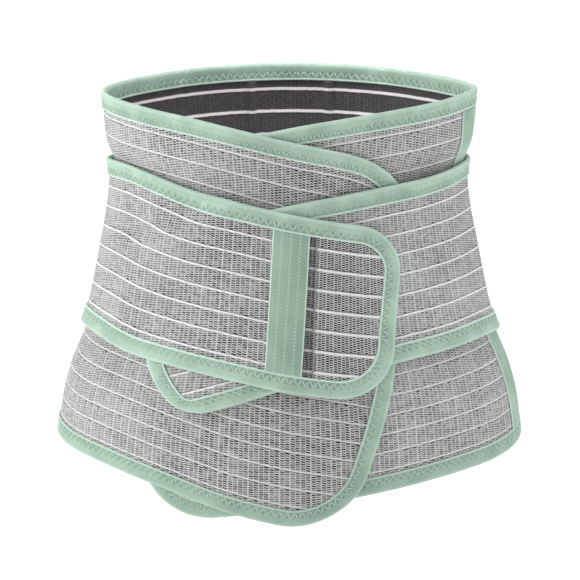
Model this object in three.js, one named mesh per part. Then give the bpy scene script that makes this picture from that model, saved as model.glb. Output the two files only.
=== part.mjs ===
// Abdominal binder of elastic mesh, as worn: a tall body panel and a waist belt. Each wraps once
// round the torso, and its two ends lap at the front.
//
// Millimetres. The origin is the centre of the waist, +Z is up, the front faces -Y, and the lapping
// ends come from the -X side. A place on the cloth is an angle round the body and a height. The
// angle is 0 at the front centre and 90 over +X; on a band it falls from the lapping end, past -90
// (the -X side) and -180 (the back), to the hidden end near -400.
import * as THREE from "three";

const { sin, cos, sqrt, abs, PI } = Math;
const degree = PI / 180;

// Torso inside the cloth, measured to the middle of the panel's fabric
const waistWidth = 238;
const waistDepth = 176;
const torsoHeight = 240;
const rimHeight = 62;
const hemDepth = 180;
// Share by which the sides of a section are drawn in from an ellipse
const sideTaper = 0.5;

// Cloth
const fabricThickness = 1.2;
const tapeThickness = 0.7;
const clearance = 0.3;
const layerGap = 0.8;
const bindingWidth = 12;
const edgeInset = 1.6;
const seamGap = 0.3;

// Belt
const beltHeight = 120;

// Tapes, stays and pads
const sideTapeWidth = 25;
const backTapeWidth = 25;
const crossTapeWidth = 25;
const stayWidth = 8;
const staySpacing = 52;
// Hook pads, counted in facets of the fabric that they lie on: columns in from the end, and rows
const beltPad = { columns: 2, firstRow: 1, lastRow: 7 };
const panelPad = { columns: 3, firstRow: 4, lastRow: 9 };

// Angles of the seams and tapes, in degrees
const overSeamAngle = -104;
const underSeamAngle = -278;
const backAngle = -180;
const crossTapeTopAngle = 0.7;
const crossTapeBottomAngle = -2;

// Ends: the angle that the end edge has at the top and at the bottom, how far its middle bulges,
// and the radii of its two corners
const panelOverEnd = { side: 1, topAngle: 46.5, bottomAngle: 13, bulgeAngle: 0, topRadius: 45, bottomRadius: 45 };
const panelUnderEnd = { side: -1, topAngle: -416, bottomAngle: -396, bulgeAngle: 0, topRadius: 45, bottomRadius: 50 };
const beltOverEnd = { side: 1, topAngle: 35, bottomAngle: 25, bulgeAngle: 0, topRadius: 30, bottomRadius: 38 };
const beltUnderEnd = { side: -1, topAngle: -405, bottomAngle: -385.5, bulgeAngle: -8, topRadius: 30, bottomRadius: 16 };

// Torso sections. level is a share of torsoHeight above the waist; width and depth are shares of
// waistWidth and waistDepth.
const torsoSections = [
  { level: -1.000, width: 1.358, depth: 1.330 },
  { level: -0.855, width: 1.353, depth: 1.325 },
  { level: -0.740, width: 1.335, depth: 1.310 },
  { level: -0.625, width: 1.304, depth: 1.286 },
  { level: -0.545, width: 1.262, depth: 1.250 },
  { level: -0.490, width: 1.220, depth: 1.211 },
  { level: -0.435, width: 1.172, depth: 1.167 },
  { level: -0.365, width: 1.121, depth: 1.118 },
  { level: -0.270, width: 1.078, depth: 1.076 },
  { level: -0.180, width: 1.043, depth: 1.042 },
  { level: -0.090, width: 1.008, depth: 1.009 },
  { level: 0.000, width: 0.988, depth: 0.992 },
  { level: 0.055, width: 0.994, depth: 0.998 },
  { level: 0.105, width: 1.032, depth: 1.030 },
  { level: 0.140, width: 1.045, depth: 1.044 },
  { level: 0.200, width: 1.054, depth: 1.056 },
  { level: 0.265, width: 1.061, depth: 1.064 },
  { level: 0.340, width: 1.065, depth: 1.069 },
];

// Edges of the panel: rim is a share of rimHeight above the waist, hem of hemDepth below it
const panelEdges = [
  { angle: 55, rim: 0.04, hem: 1.380 },
  { angle: 40, rim: 0.26, hem: 1.330 },
  { angle: 30, rim: 0.36, hem: 1.295 },
  { angle: 20, rim: 0.51, hem: 1.260 },
  { angle: 10, rim: 0.61, hem: 1.225 },
  { angle: 0, rim: 0.69, hem: 1.197 },
  { angle: -15, rim: 0.81, hem: 1.147 },
  { angle: -30, rim: 0.895, hem: 1.087 },
  { angle: -45, rim: 0.94, hem: 1.045 },
  { angle: -60, rim: 0.968, hem: 1.022 },
  { angle: -90, rim: 0.995, hem: 0.990 },
  { angle: -180, rim: 1.02, hem: 0.985 },
  { angle: -270, rim: 1.02, hem: 1.005 },
  { angle: -285, rim: 1.015, hem: 1.030 },
  { angle: -300, rim: 1.00, hem: 1.047 },
  { angle: -315, rim: 0.98, hem: 1.060 },
  { angle: -330, rim: 0.955, hem: 1.077 },
  { angle: -345, rim: 0.91, hem: 1.100 },
  { angle: -360, rim: 0.83, hem: 1.133 },
  { angle: -380, rim: 0.66, hem: 1.183 },
  { angle: -400, rim: 0.47, hem: 1.240 },
  { angle: -425, rim: 0.24, hem: 1.300 },
];

// Edges of the belt, as shares of beltHeight above and below the waist
const beltEdges = [
  { angle: 40, top: -0.190, bottom: -1.155 },
  { angle: 20, top: -0.120, bottom: -1.090 },
  { angle: 0, top: -0.045, bottom: -1.025 },
  { angle: -15, top: 0.010, bottom: -0.965 },
  { angle: -30, top: 0.050, bottom: -0.925 },
  { angle: -45, top: 0.102, bottom: -0.896 },
  { angle: -60, top: 0.137, bottom: -0.848 },
  { angle: -75, top: 0.133, bottom: -0.832 },
  { angle: -90, top: 0.120, bottom: -0.834 },
  { angle: -180, top: 0.124, bottom: -0.858 },
  { angle: -270, top: 0.122, bottom: -0.878 },
  { angle: -300, top: 0.105, bottom: -0.872 },
  { angle: -315, top: 0.088, bottom: -0.883 },
  { angle: -330, top: 0.073, bottom: -0.904 },
  { angle: -345, top: 0.043, bottom: -0.945 },
  { angle: -360, top: -0.003, bottom: -1.005 },
  { angle: -375, top: -0.075, bottom: -1.120 },
  { angle: -390, top: -0.190, bottom: -1.235 },
  { angle: -412, top: -0.360, bottom: -1.400 },
];

// Where one layer climbs over the end of the layer beneath it: start and full lift, in degrees
const wingClimb = { startAngle: -103, fullAngle: -62 };
const beltClimbWing = { startAngle: -106, fullAngle: -65 };
const beltClimbTip = { startAngle: -80, fullAngle: -51 };
const beltClimbUnder = { startAngle: -284, fullAngle: -310 };

// Angles from the front centre at which every piece has a facet edge, closer at the tight sides
const facetAngles = [
  0, 9, 18, 27, 36, 45, 54, 62, 69, 76, 82, 86, 90, 94, 98, 104, 112, 122, 134, 149, 166, 180,
];
const panelFacets = { rows: 13, cornerSteps: 3 };
const beltFacets = { rows: 8, cornerSteps: 3 };
const endFacetAngle = 8;
// Facet edges closer to a limit than this are left out, as are stations this close to each other
const leastFacetAngle = 1.5;
const leastStationAngle = 0.4;
// How far inside an end the girth is measured that turns its lengths into angles
const endSampleAngle = 6;
// Corners that agree to this part of a millimetre are one corner
const spotsPerMillimetre = 1e4;

// Half of a bound edge's thickness: half the fabric, the gap in the fold and one wall of tape
const boundHalf = fabricThickness / 2 + clearance + tapeThickness;
// Inset of the fabric's second line of corners, just past the inner edge of the binding
const ringInset = bindingWidth + 1;
const layerPitch = 2 * boundHalf + layerGap;

const mix = (a, b, share) => a + (b - a) * share;

function climbed(angle, { startAngle, fullAngle }) {
  const share = THREE.MathUtils.clamp((angle - startAngle) / (fullAngle - startAngle), 0, 1);
  return share * share * (3 - 2 * share);
}

// Smooth curve through one column of a table; the key column may rise or fall
function through(table, key, column, at) {
  const last = table.length - 1;
  const rising = table[last][key] > table[0][key] ? 1 : -1;
  let i = 0;
  while (i < last - 1 && rising * (at - table[i + 1][key]) > 0) i += 1;
  const slope = (a, b) => (table[b][column] - table[a][column]) / (table[b][key] - table[a][key]);
  const span = table[i + 1][key] - table[i][key];
  const startSlope = slope(Math.max(i - 1, 0), i + 1) * span;
  const endSlope = slope(i, Math.min(i + 2, last)) * span;
  const t = THREE.MathUtils.clamp((at - table[i][key]) / span, 0, 1);
  const a = table[i][column];
  const b = table[i + 1][column];
  return a + t * (startSlope + t * (3 * (b - a) - 2 * startSlope - endSlope
    + t * (startSlope + endSlope - 2 * (b - a))));
}

// A point at an angle and a height, lifted outwards from the torso's surface
function place(angle, z, lift) {
  const level = z / torsoHeight;
  const halfWidth = through(torsoSections, "level", "width", level) * waistWidth / 2;
  const halfDepth = through(torsoSections, "level", "depth", level) * waistDepth / 2;
  const s = sin(angle * degree);
  const c = cos(angle * degree);
  const x = halfWidth * s;
  const y = -halfDepth * c * (1 - sideTaper + sideTaper * abs(c));
  const outX = halfDepth * s * (1 - sideTaper + 2 * sideTaper * abs(c));
  const outY = -halfWidth * c;
  const length = Math.hypot(outX, outY);
  return new THREE.Vector3(x + lift * outX / length, y + lift * outY / length, z);
}

const millimetresPerDegree = (angle, z) => place(angle + 0.5, z, 0).distanceTo(place(angle - 0.5, z, 0));

// A band has a top and a bottom edge, a lift off the torso, and two ends
const panel = {
  facets: panelFacets,
  top: (angle) => through(panelEdges, "angle", "rim", angle) * rimHeight,
  bottom: (angle) => -through(panelEdges, "angle", "hem", angle) * hemDepth,
  lift: (angle) => layerPitch * climbed(angle, wingClimb),
  overEnd: panelOverEnd,
  underEnd: panelUnderEnd,
};

const belt = {
  facets: beltFacets,
  top: (angle) => through(beltEdges, "angle", "top", angle) * beltHeight,
  bottom: (angle) => through(beltEdges, "angle", "bottom", angle) * beltHeight,
  lift: (angle) => layerPitch * (1 + climbed(angle, beltClimbWing)
    + climbed(angle, beltClimbTip)
    + climbed(angle, beltClimbUnder)),
  overEnd: beltOverEnd,
  underEnd: beltUnderEnd,
};

// share is 0 at the band's top edge and 1 at its bottom edge
const bandHeight = (band, angle) => band.top(angle) - band.bottom(angle);
const heightAt = (band, angle, share) => mix(band.top(angle), band.bottom(angle), share);
const bandPoint = (band, angle, share, lift) =>
  place(angle, heightAt(band, angle, share), band.lift(angle) + lift);

const endLine = (end, share) =>
  mix(end.topAngle, end.bottomAngle, share) + end.bulgeAngle * 4 * share * (1 - share);

// The angle that lies a given length in from a band's end, at a share of its height
function angleFromEnd(band, end, share, length) {
  const line = endLine(end, share);
  const z = heightAt(band, line, share);
  return line - end.side * length / millimetresPerDegree(line - end.side * endSampleAngle, z);
}

// Station at given lengths from the end and from the top or bottom edge
function endStation(band, end, fromEdge, fromEnd, atBottom) {
  let angle = endLine(end, atBottom ? 1 : 0);
  let share = 0;
  for (let pass = 0; pass < 3; pass += 1) {
    const part = fromEdge / bandHeight(band, angle);
    share = atBottom ? 1 - part : part;
    angle = angleFromEnd(band, end, share, fromEnd);
  }
  return { angle, share };
}

// Facet angles strictly between two angles of a band, in falling order
function facetsBetween(high, low) {
  const found = [];
  for (const turn of [1, 0, -1, -2]) {
    for (const facet of facetAngles) {
      for (const side of [1, -1]) found.push(360 * turn + side * facet);
    }
  }
  const within = found.filter((angle) =>
    angle < high - leastFacetAngle && angle > low + leastFacetAngle);
  return [...new Set(within)].sort((a, b) => b - a);
}

// Stations along one end, from its top corner to its bottom corner, one for each row line of the
// fabric. A station is a function of the distance in from the edge.
function endStations(band, end) {
  const { rows, cornerSteps } = band.facets;
  const corner = (radius, step, atBottom) => (inset) => {
    const turn = step / cornerSteps * PI / 2;
    const back = radius - (radius - inset) * sin(turn);
    return endStation(band, end, radius - (radius - inset) * cos(turn), back, atBottom);
  };
  const straightSteps = rows - 2 * cornerSteps;
  const stations = [];
  for (let i = 0; i <= cornerSteps; i += 1) stations.push(corner(end.topRadius, i, false));
  for (let i = 1; i < straightSteps; i += 1) {
    stations.push((inset) => {
      const first = endStation(band, end, end.topRadius, inset, false).share;
      const last = endStation(band, end, end.bottomRadius, inset, true).share;
      const share = mix(first, last, i / straightSteps);
      return { angle: angleFromEnd(band, end, share, inset), share };
    });
  }
  for (let i = cornerSteps; i >= 0; i -= 1) stations.push(corner(end.bottomRadius, i, true));
  return stations;
}

// Closed mesh from points and faces given as corner lists, turned so that its faces point out.
// Corners that fall on one spot are one corner, and a face without area is left out.
function solid(points, faces) {
  const spots = new Map();
  const kept = [];
  const corner = points.map((point) => {
    const key = point.toArray().map((value) => Math.round(value * spotsPerMillimetre)).join();
    if (!spots.has(key)) {
      spots.set(key, kept.length);
      kept.push(point);
    }
    return spots.get(key);
  });
  const index = [];
  let volume = 0;
  for (const face of faces) {
    for (let i = 2; i < face.length; i += 1) {
      const [a, b, c] = [corner[face[0]], corner[face[i - 1]], corner[face[i]]];
      if (a === b || b === c || c === a) continue;
      index.push(a, b, c);
      volume += kept[a].dot(new THREE.Vector3().crossVectors(kept[b], kept[c]));
    }
  }
  if (volume < 0) index.reverse();
  const geometry = new THREE.BufferGeometry().setFromPoints(kept);
  geometry.setIndex(index);
  geometry.computeVertexNormals();
  return geometry;
}

// Sheet with an outer and an inner face; point(row, column, lift) gives its corners
function sheet(rowCount, columnCount, point, outerLift, innerLift) {
  const points = [];
  for (const lift of [outerLift, innerLift]) {
    for (let row = 0; row <= rowCount; row += 1) {
      for (let column = 0; column <= columnCount; column += 1) points.push(point(row, column, lift));
    }
  }
  const width = columnCount + 1;
  const under = width * (rowCount + 1);
  const faces = [];
  for (let row = 0; row < rowCount; row += 1) {
    for (let column = 0; column < columnCount; column += 1) {
      const a = row * width + column;
      faces.push([a, a + 1, a + 1 + width, a + width]);
      faces.push([under + a + width, under + a + 1 + width, under + a + 1, under + a]);
    }
  }
  const border = [];
  for (let column = 0; column < columnCount; column += 1) border.push(column);
  for (let row = 0; row < rowCount; row += 1) border.push(row * width + columnCount);
  for (let column = columnCount; column > 0; column -= 1) border.push(rowCount * width + column);
  for (let row = rowCount; row > 0; row -= 1) border.push(row * width);
  border.forEach((a, i) => {
    const b = border[(i + 1) % border.length];
    faces.push([a, under + a, under + b, b]);
  });
  return solid(points, faces);
}

const mixStations = (a, b, share) =>
  ({ angle: mix(a.angle, b.angle, share), share: mix(a.share, b.share, share) });

// Grid of facet corners of the fabric between two limits. A limit is a band's end, or the line of
// a seam, which gives an angle at each share of the height. Every column has a station at its top
// edge and one at its bottom edge; a rounded end adds one more column outside its first one.
function fabricGrid(band, high, low) {
  const { rows } = band.facets;
  const edgeStation = (angleAt, atBottom) => (inset) => {
    const angle = angleAt(inset, atBottom ? 1 : 0);
    const part = inset / bandHeight(band, angle);
    return { angle, share: atBottom ? 1 - part : part };
  };
  const limitOf = (edge) => {
    if (typeof edge === "function") {
      return { reach: [0, 0.5, 1].map(edge), angleAt: (_, share) => edge(share), lineAt: edge };
    }
    const ring = endStations(band, edge);
    const reach = ring.map((station) => station(ringInset).angle);
    const angleAt = (inset, share) => ring[share * rows](inset).angle;
    return { reach, angleAt, ring };
  };
  const limits = [limitOf(high), limitOf(low)];
  const [highLimit, lowLimit] = limits;
  const [upperLimit, lowerLimit] = [Math.min(...highLimit.reach), Math.max(...lowLimit.reach)];
  const facets = facetsBetween(upperLimit, lowerLimit);
  // Between close limits with no facet of the body there, one column lies midway
  const regular = facets.length > 0 ? facets : [mix(upperLimit, lowerLimit, 0.5)];
  const last = regular[regular.length - 1];
  const stepsTo = (limit, angle) =>
    Math.max(1, Math.round(Math.max(...limit.reach.map((at) => abs(at - angle))) / endFacetAngle));
  const columns = [];
  const addColumn = (limit, nearest, share) => {
    const angleAt = (inset, at) => mix(limit.angleAt(inset, at), nearest, share);
    const top = edgeStation(angleAt, false);
    const bottom = edgeStation(angleAt, true);
    const line = (row) => {
      const [upper, lower] = [top(ringInset), bottom(ringInset)];
      if (row === 0) return upper;
      if (row === rows) return lower;
      const middle = mixStations(upper, lower, row / rows);
      if (limit.lineAt) {
        const angle = mix(limit.lineAt(middle.share), nearest, share);
        return { angle, share: middle.share };
      }
      const margin = ringInset / bandHeight(band, nearest);
      const straight = { angle: nearest, share: mix(margin, 1 - margin, row / rows) };
      return mixStations(limit.ring[row](ringInset), straight, share);
    };
    columns.push({ top, bottom, line });
  };
  const highSteps = stepsTo(highLimit, regular[0]);
  for (let i = 0; i < highSteps; i += 1) addColumn(highLimit, regular[0], i / highSteps);
  for (const angle of regular) addColumn(highLimit, angle, 1);
  const lowSteps = stepsTo(lowLimit, last);
  for (let i = lowSteps - 1; i >= 0; i -= 1) addColumn(lowLimit, last, i / lowSteps);
  return { band, columns, highRing: highLimit.ring, lowRing: lowLimit.ring };
}

const stationPoint = (band, { angle, share }, lift) => bandPoint(band, angle, share, lift);

function fabric(grid) {
  const { band, columns, highRing, lowRing } = grid;
  const { rows } = band.facets;
  const before = highRing ? 1 : 0;
  const after = lowRing ? 1 : 0;
  const point = (line, column, lift) => {
    const row = THREE.MathUtils.clamp(line - 1, 0, rows);
    if (column < before) return stationPoint(band, highRing[row](edgeInset), lift);
    if (column >= before + columns.length) return stationPoint(band, lowRing[row](edgeInset), lift);
    const { top, bottom, line: spot } = columns[column - before];
    if (line === 0) return stationPoint(band, top(edgeInset), lift);
    if (line === rows + 2) return stationPoint(band, bottom(edgeInset), lift);
    return stationPoint(band, spot(row), lift);
  };
  const columnCount = columns.length - 1 + before + after;
  return sheet(rows + 2, columnCount, point, fabricThickness / 2, -fabricThickness / 2);
}

// Point over the facets of the fabric, so that what lies on the cloth runs level with it
function overFabric(grids, angle, share, lift) {
  const { band } = grids[0];
  const { rows } = band.facets;
  const margin = ringInset / bandHeight(band, angle);
  const rowPlace = (share - margin) / (1 - 2 * margin) * rows;
  const row = THREE.MathUtils.clamp(Math.floor(rowPlace), 0, rows - 1);
  const down = rowPlace - row;
  const spots = grids.flatMap(({ columns }) => columns.map(({ line }) => [line(row), line(row + 1)]));
  const angles = spots.map(([upper, lower]) => mix(upper.angle, lower.angle, down));
  let column = 0;
  while (column < spots.length - 2 && angle < angles[column + 1]) column += 1;
  const across = (angle - angles[column]) / (angles[column + 1] - angles[column]);
  const corners = [spots[column], spots[column + 1]].map((pair) =>
    pair.map((spot) => stationPoint(band, spot, lift)));
  const upper = corners[0][0].lerp(corners[1][0], across);
  const lower = corners[0][1].lerp(corners[1][1], across);
  return upper.lerp(lower, down);
}

// Folded tape round the whole outline of a band: two walls and the fold at the edge
function binding(grids) {
  const { band } = grids[0];
  const half = fabricThickness / 2 + clearance;
  const profile = [
    { inset: bindingWidth, lift: boundHalf },
    { inset: tapeThickness, lift: boundHalf },
    { inset: 0, lift: 0 },
    { inset: tapeThickness, lift: -boundHalf },
    { inset: bindingWidth, lift: -boundHalf },
    { inset: bindingWidth, lift: -half },
    { inset: edgeInset - clearance, lift: -half },
    { inset: edgeInset - clearance, lift: half },
    { inset: bindingWidth, lift: half },
  ];
  const edge = (side) => {
    const stations = grids.flatMap(({ columns }) => columns.map((column) => column[side]));
    return stations.filter((station, i) =>
      i === 0 || stations[i - 1](0).angle - station(0).angle > leastStationAngle);
  };
  const stations = [
    ...grids[0].highRing,
    ...edge("bottom").slice(1, -1),
    ...grids[grids.length - 1].lowRing.toReversed(),
    ...edge("top").slice(1, -1).toReversed(),
  ];
  const points = [];
  for (const station of stations) {
    for (const { inset, lift } of profile) {
      const outer = stationPoint(band, station(edgeInset), lift);
      const inner = stationPoint(band, station(ringInset), lift);
      points.push(outer.lerp(inner, (inset - edgeInset) / (ringInset - edgeInset)));
    }
  }
  const faces = [];
  const n = profile.length;
  stations.forEach((_, i) => {
    const next = (i + 1) % stations.length;
    for (let j = 0; j < n; j += 1) {
      const k = (j + 1) % n;
      faces.push([i * n + j, next * n + j, next * n + k, i * n + k]);
    }
  });
  return solid(points, faces);
}

// Tape or stay laid across a band, clear of the binding at both of its ends. Over a seam that
// leans across the facets, it gets a column of corners along the seam.
function crossStrip(grids, centre, width, faceSide, overLeaningSeam = false) {
  const { band } = grids[0];
  const { rows } = band.facets;
  const near = fabricThickness / 2 + clearance;
  const shareAt = (inset) => inset / bandHeight(band, centre(0.5));
  const first = shareAt(bindingWidth + clearance);
  const ring = shareAt(ringInset);
  const shares = [first];
  for (let row = 1; row < rows; row += 1) shares.push(mix(ring, 1 - ring, row / rows));
  shares.push(1 - first);
  const middles = shares.map(centre);
  const halfAngles = shares.map((share, i) =>
    width / 2 / millimetresPerDegree(middles[i], heightAt(band, middles[i], share)));
  const widest = Math.max(...halfAngles);
  const facets = facetsBetween(Math.max(...middles) + widest, Math.min(...middles) - widest);
  const seamReach = 2;
  const lines = facets
    .filter((angle) => !overLeaningSeam || abs(angle - centre(0.5)) > seamReach)
    .map((angle) => () => angle);
  if (overLeaningSeam) {
    const after = lines.findIndex((line) => line() < centre(0.5));
    lines.splice(after < 0 ? lines.length : after, 0, (row) => middles[row]);
  }
  const least = 0.3;
  const point = (row, column, lift) => {
    const high = middles[row] + halfAngles[row];
    const low = middles[row] - halfAngles[row];
    const fromLow = lines.length + 1 - column;
    let angle = high;
    if (fromLow === 0) angle = low;
    else if (column > 0) {
      const line = lines[column - 1](row);
      angle = THREE.MathUtils.clamp(line, low + least * fromLow, high - least * column);
    }
    return overFabric(grids, angle, shares[row], lift);
  };
  const outer = faceSide * (near + tapeThickness);
  return sheet(shares.length - 1, lines.length + 1, point, outer, faceSide * near);
}

// Hook pad inside a lapping end, on whole facets of its fabric
function hookPad({ band, columns }, pad) {
  const near = fabricThickness / 2 + clearance;
  const point = (row, column, lift) =>
    stationPoint(band, columns[column].line(pad.firstRow + row), lift);
  return sheet(pad.lastRow - pad.firstRow, pad.columns, point, -near, -near - tapeThickness);
}

const meshGrey = { color: 0xa6a4a6, roughness: 0.85, metalness: 0 };
const sageGreen = { color: 0x93bba3, roughness: 0.8, metalness: 0 };
const charcoal = { color: 0x3c393c, roughness: 0.9, metalness: 0 };
const hookGrey = { color: 0x8c8c8e, roughness: 0.9, metalness: 0 };

const binder = new THREE.Group();

function add(name, geometry, finish) {
  const mesh = new THREE.Mesh(geometry, new THREE.MeshStandardMaterial(finish));
  mesh.name = name;
  binder.add(mesh);
}

// Half a seam's gap, as an angle at the waist
const halfSeam = (angle) => seamGap / 2 / millimetresPerDegree(angle, 0);
const above = (angle) => () => angle + halfSeam(angle);
const below = (angle) => () => angle - halfSeam(angle);

const crossTapeLine = (share) => mix(crossTapeTopAngle, crossTapeBottomAngle, share);
const stayAngle = (side) => backAngle + side * staySpacing / 2 / millimetresPerDegree(backAngle, 0);
const outside = 1;
const inside = -1;

const overWing = fabricGrid(panel, panelOverEnd, above(overSeamAngle));
const backPanel = fabricGrid(panel, below(overSeamAngle), above(underSeamAngle));
const underWing = fabricGrid(panel, below(underSeamAngle), panelUnderEnd);
const panelGrids = [overWing, backPanel, underWing];
add("over_wing", fabric(overWing), meshGrey);
add("back_panel", fabric(backPanel), meshGrey);
add("under_wing", fabric(underWing), meshGrey);
add("panel_binding", binding(panelGrids), sageGreen);
add("side_tape_over", crossStrip(panelGrids, () => overSeamAngle, sideTapeWidth, outside), sageGreen);
add("side_tape_under", crossStrip(panelGrids, () => underSeamAngle, sideTapeWidth, outside), sageGreen);
for (const [name, side] of [["over", 1], ["under", -1]]) {
  const line = () => stayAngle(side);
  add(`back_tape_${name}`, crossStrip(panelGrids, line, backTapeWidth, outside), sageGreen);
  add(`back_stay_${name}`, crossStrip(panelGrids, line, stayWidth, inside), charcoal);
}

const beltTab = fabricGrid(belt, beltOverEnd, (share) => crossTapeLine(share) + halfSeam(0));
const beltBand = fabricGrid(belt, (share) => crossTapeLine(share) - halfSeam(0), beltUnderEnd);
const beltGrids = [beltTab, beltBand];
add("belt_over_tab", fabric(beltTab), meshGrey);
add("belt_band", fabric(beltBand), meshGrey);
add("belt_cross_tape", crossStrip(beltGrids, crossTapeLine, crossTapeWidth, outside, true), sageGreen);
add("belt_binding", binding(beltGrids), sageGreen);

add("belt_hook_pad", hookPad(beltTab, beltPad), hookGrey);
add("panel_hook_pad", hookPad(overWing, panelPad), hookGrey);

export default binder;
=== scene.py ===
"""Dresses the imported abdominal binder: elastic mesh, folded bindings, tapes, stays and stitching.

Metres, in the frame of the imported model. A place on the cloth is an angle round the body, in
degrees, and a height. The angle is 0 at the front centre and 90 over +X. On a band it falls from
the lapping end, past -90 and -180 (the back), to the hidden end near -400.
"""

from collections import namedtuple

import bmesh
import bpy
import numpy as np
from bpy.props import FloatProperty, FloatVectorProperty, PointerProperty
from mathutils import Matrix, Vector


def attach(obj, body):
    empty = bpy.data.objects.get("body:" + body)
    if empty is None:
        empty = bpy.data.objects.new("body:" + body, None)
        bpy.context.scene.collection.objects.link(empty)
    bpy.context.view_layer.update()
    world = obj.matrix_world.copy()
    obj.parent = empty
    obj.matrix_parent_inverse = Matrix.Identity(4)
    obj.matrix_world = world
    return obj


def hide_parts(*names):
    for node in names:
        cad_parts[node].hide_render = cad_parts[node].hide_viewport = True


bl_info = {
    "name": "Abdominal binder",
    "version": (1, 0, 0),
    "blender": (4, 5, 0),
    "location": "View3D > Sidebar > Binder",
    "description": "Models an elastic abdominal binder round its packed frame",
    "category": "Add Mesh",
}

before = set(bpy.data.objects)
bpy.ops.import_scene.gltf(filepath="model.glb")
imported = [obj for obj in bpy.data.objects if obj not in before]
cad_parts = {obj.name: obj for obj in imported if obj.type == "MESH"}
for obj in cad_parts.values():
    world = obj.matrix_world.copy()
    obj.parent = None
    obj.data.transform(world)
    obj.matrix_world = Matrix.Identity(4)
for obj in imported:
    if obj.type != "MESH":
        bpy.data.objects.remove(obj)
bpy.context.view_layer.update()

# The torso's sections: level is a share of the torso's height above the waist, width and depth
# are shares of the waist's
Section = namedtuple("Section", "level width depth")
TORSO_SECTIONS = (
    Section(-1.000, 1.358, 1.330),
    Section(-0.855, 1.353, 1.325),
    Section(-0.740, 1.335, 1.310),
    Section(-0.625, 1.304, 1.286),
    Section(-0.545, 1.262, 1.250),
    Section(-0.490, 1.220, 1.211),
    Section(-0.435, 1.172, 1.167),
    Section(-0.365, 1.121, 1.118),
    Section(-0.270, 1.078, 1.076),
    Section(-0.180, 1.043, 1.042),
    Section(-0.090, 1.008, 1.009),
    Section(0.000, 0.988, 0.992),
    Section(0.055, 0.994, 0.998),
    Section(0.105, 1.032, 1.030),
    Section(0.140, 1.045, 1.044),
    Section(0.200, 1.054, 1.056),
    Section(0.265, 1.061, 1.064),
    Section(0.340, 1.065, 1.069),
)

# Edges of the panel: top is a share of the rim's height above the waist, bottom of the hem's
# depth below it
Edge = namedtuple("Edge", "angle top bottom")
PANEL_EDGES = (
    Edge(55, 0.04, -1.380),
    Edge(40, 0.26, -1.330),
    Edge(30, 0.36, -1.295),
    Edge(20, 0.51, -1.260),
    Edge(10, 0.61, -1.225),
    Edge(0, 0.69, -1.197),
    Edge(-15, 0.81, -1.147),
    Edge(-30, 0.895, -1.087),
    Edge(-45, 0.94, -1.045),
    Edge(-60, 0.968, -1.022),
    Edge(-90, 0.995, -0.990),
    Edge(-180, 1.02, -0.985),
    Edge(-270, 1.02, -1.005),
    Edge(-285, 1.015, -1.030),
    Edge(-300, 1.00, -1.047),
    Edge(-315, 0.98, -1.060),
    Edge(-330, 0.955, -1.077),
    Edge(-345, 0.91, -1.100),
    Edge(-360, 0.83, -1.133),
    Edge(-380, 0.66, -1.183),
    Edge(-400, 0.47, -1.240),
    Edge(-425, 0.24, -1.300),
)

# Edges of the belt, as shares of its height above and below the waist
BELT_EDGES = (
    Edge(40, -0.190, -1.155),
    Edge(20, -0.120, -1.090),
    Edge(0, -0.045, -1.025),
    Edge(-15, 0.010, -0.965),
    Edge(-30, 0.050, -0.925),
    Edge(-45, 0.102, -0.896),
    Edge(-60, 0.137, -0.848),
    Edge(-75, 0.133, -0.832),
    Edge(-90, 0.120, -0.834),
    Edge(-180, 0.124, -0.858),
    Edge(-270, 0.122, -0.878),
    Edge(-300, 0.105, -0.872),
    Edge(-315, 0.088, -0.883),
    Edge(-330, 0.073, -0.904),
    Edge(-345, 0.043, -0.945),
    Edge(-360, -0.003, -1.005),
    Edge(-375, -0.075, -1.120),
    Edge(-390, -0.190, -1.235),
    Edge(-412, -0.360, -1.400),
)

# Ends of the bands: the edge's angle at the top and at the bottom, how far its middle bulges,
# and the radii of the two corners
End = namedtuple("End", "side top_angle bottom_angle bulge_angle top_radius bottom_radius")
PANEL_OVER_END = End(1, 46.5, 13, 0, 0.045, 0.045)
PANEL_UNDER_END = End(-1, -416, -396, 0, 0.045, 0.050)
BELT_OVER_END = End(1, 35, 25, 0, 0.030, 0.038)
BELT_UNDER_END = End(-1, -405, -385.5, -8, 0.030, 0.016)

# Where one layer climbs over the end of the layer beneath it, as start and full angle
WING_CLIMB = (-103, -62)
BELT_CLIMBS = ((-106, -65), (-80, -51), (-284, -310))

# Angles of the seams and tapes at the top and at the bottom
OVER_SEAM_ANGLES = (-104, -104)
UNDER_SEAM_ANGLES = (-282, -274)
BACK_ANGLE = -180
CROSS_TAPE_ANGLES = (0.7, -2)

# Section through one wall of the binding, from its inner edge to the fold: inset is a share of
# the binding's width, rise a share of the tape's thickness above the wall's flat face. The
# zigzag's inner teeth end in the hollow at the stitch's inset.
Rise = namedtuple("Rise", "inset rise")
STITCH_INSET = 0.895
BINDING_WALL = (
    Rise(1.000, -0.85),
    Rise(1.005, -0.10),
    Rise(0.985, 0.28),
    Rise(0.940, 0.34),
    Rise(STITCH_INSET, 0.06),
    Rise(0.820, -0.20),
    Rise(0.680, -0.27),
    Rise(0.540, -0.18),
    Rise(0.430, 0.12),
    Rise(0.300, 0.30),
    Rise(0.180, 0.26),
    Rise(0.090, -0.10),
    Rise(0.030, -0.95),
)


def length(name, default, description):
    """A length in metres that a user may change."""
    return FloatProperty(
        name=name, description=description, default=default, min=0, precision=4, subtype="DISTANCE"
    )


def colour(name, default, description):
    """A colour that a user may change."""
    return FloatVectorProperty(
        name=name, description=description, default=default, size=3, min=0, max=1, subtype="COLOR"
    )


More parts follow.
